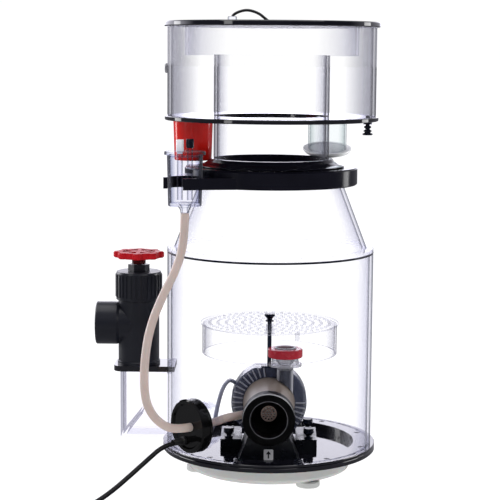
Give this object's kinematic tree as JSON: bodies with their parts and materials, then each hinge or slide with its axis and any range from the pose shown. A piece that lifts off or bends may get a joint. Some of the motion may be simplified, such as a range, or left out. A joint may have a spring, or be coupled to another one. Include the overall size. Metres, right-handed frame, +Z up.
{
  "type": "protein skimmer",
  "caption": "Clear cylindrical protein skimmer with a cone neck, a wide lift-off collection cup, an internal pump, an air silencer and a side outlet valve.",
  "frame": {"origin": "on the floor under the middle foot, on the chamber's axis", "axes": "+Z up along the chamber's axis, -Y the front where the pump's intake faces, -X the side that the outlet leaves by"},
  "size_m": [0.4518, 0.5065, 0.6757],
  "materials": {
    "black_acrylic": "polished black acrylic sheet",
    "clear_acrylic": "polished clear acrylic",
    "milky_acrylic": "milky translucent acrylic",
    "black_pvc": "satin moulded dark grey PVC",
    "black_cap": "glossy moulded black",
    "red_plastic": "glossy moulded red",
    "red_smoke": "translucent dark red",
    "smoke_acrylic": "smoky translucent",
    "tan_plastic": "translucent brown grey",
    "white_plastic": "white moulded",
    "black_rubber": "matt black rubber",
    "pale_rubber": "translucent pale rubber",
    "silicone": "beige silicone hose",
    "grey_cable": "blue grey cable sheath",
    "steel": "stainless screws",
    "motor_resin": "cast dark resin"
  },
  "bodies": {
    "chamber": {"base_pan": "milky_acrylic", "well_floor": "black_acrylic", "base_plate": "black_acrylic", "body_flange": "black_acrylic", "flange_screws": "steel", "feet": "pale_rubber", "body_tube": "clear_acrylic", "shoulder_ring": "clear_acrylic", "cone": "clear_acrylic", "body_collar": "black_acrylic", "collar_seal": "black_rubber", "silencer_cup": "clear_acrylic", "silencer_bracket": "black_acrylic", "outlet_box": "clear_acrylic", "valve_plate": "black_acrylic", "valve_tee": "black_pvc", "valve_union_nut": "black_pvc", "valve_bonnet": "black_pvc", "port_bulkhead": "clear_acrylic", "port_cap": "black_cap", "cord_gland": "black_rubber", "intake_ring": "black_cap", "intake_screen": "tan_plastic", "intake_body": "tan_plastic", "volute": "smoke_acrylic", "pump_motor": "motor_resin", "discharge_pipe": "clear_acrylic", "pump_bracket": "black_pvc", "thumbscrews": "black_pvc", "bubble_plate": "clear_acrylic", "bubble_skirt": "clear_acrylic", "plate_rod": "black_pvc", "air_hose": "silicone", "inner_hose": "silicone", "inner_cable": "grey_cable", "power_cord": "black_rubber", "power_coil": "black_rubber", "power_plug": "black_rubber"},
    "cup": {"neck_tube": "clear_acrylic", "neck_collar": "black_acrylic", "cup_floor": "black_acrylic", "cup_wall": "clear_acrylic", "red_canister": "red_plastic", "clear_canister": "clear_acrylic", "canister_base": "milky_acrylic"},
    "lid": {"lid": "black_acrylic", "lid_skirt": "clear_acrylic", "handle_post": "clear_acrylic", "lid_handle": "black_rubber"},
    "drain_plug": {"drain_plug": "black_pvc"},
    "silencer_lid": {"silencer_lid": "clear_acrylic", "silencer_inlet_tube": "white_plastic", "silencer_valve_tube": "clear_acrylic"},
    "air_knob": {"air_knob": "black_pvc"},
    "handwheel": {"handwheel": "red_plastic", "valve_stem": "steel"},
    "valve_plug": {"valve_plug": "black_pvc"},
    "impeller": {"impeller": "white_plastic"},
    "pump_union": {"pump_union_nut": "red_smoke"},
    "plate_knob": {"plate_knob": "black_pvc"}
  },
  "joints": [
    {"name": "cup_lift", "type": "slide", "parent": "chamber", "child": "cup", "axis": [0, 0, 1], "range_m": [0, 0.12]},
    {"name": "lid_lift", "type": "slide", "parent": "cup", "child": "lid", "axis": [0, 0, 1], "range_m": [0, 0.06]},
    {"name": "drain_plug_turn", "type": "hinge", "parent": "cup", "child": "drain_plug", "pos_m": [0.1383, -0.01, 0.51], "axis": [0, 0, 1], "range_deg": [0, 720]},
    {"name": "silencer_lid_lift", "type": "slide", "parent": "chamber", "child": "silencer_lid", "axis": [0, 0, 1], "range_m": [0, 0.02]},
    {"name": "air_knob_turn", "type": "hinge", "parent": "silencer_lid", "child": "air_knob", "pos_m": [-0.1125, -0.1005, 0.49], "axis": [0, 0, 1], "range_deg": [0, 720]},
    {"name": "handwheel_turn", "type": "hinge", "parent": "chamber", "child": "handwheel", "pos_m": [-0.192, 0, 0.32], "axis": [0, 0, 1], "range_deg": [-2160, 0]},
    {"name": "valve_plug_slide", "type": "slide", "parent": "chamber", "child": "valve_plug", "axis": [0, 0, 1], "range_m": [-0.048, 0]},
    {"name": "impeller_spin", "type": "hinge", "parent": "chamber", "child": "impeller", "pos_m": [0, 0.02, 0.1033], "axis": [0, 1, 0], "continuous": true},
    {"name": "pump_union_turn", "type": "hinge", "parent": "chamber", "child": "pump_union", "pos_m": [0.0232, -0.017, 0.18], "axis": [0, 0, 1], "range_deg": [0, 360]},
    {"name": "plate_knob_turn", "type": "hinge", "parent": "chamber", "child": "plate_knob", "pos_m": [0, 0, 0.228], "axis": [0, 0, 1], "range_deg": [0, 720]}
  ],
  "couplings": [
    {"joint": "valve_plug_slide", "follows": "handwheel_turn", "m_per_rad": 0.0012732}
  ]
}
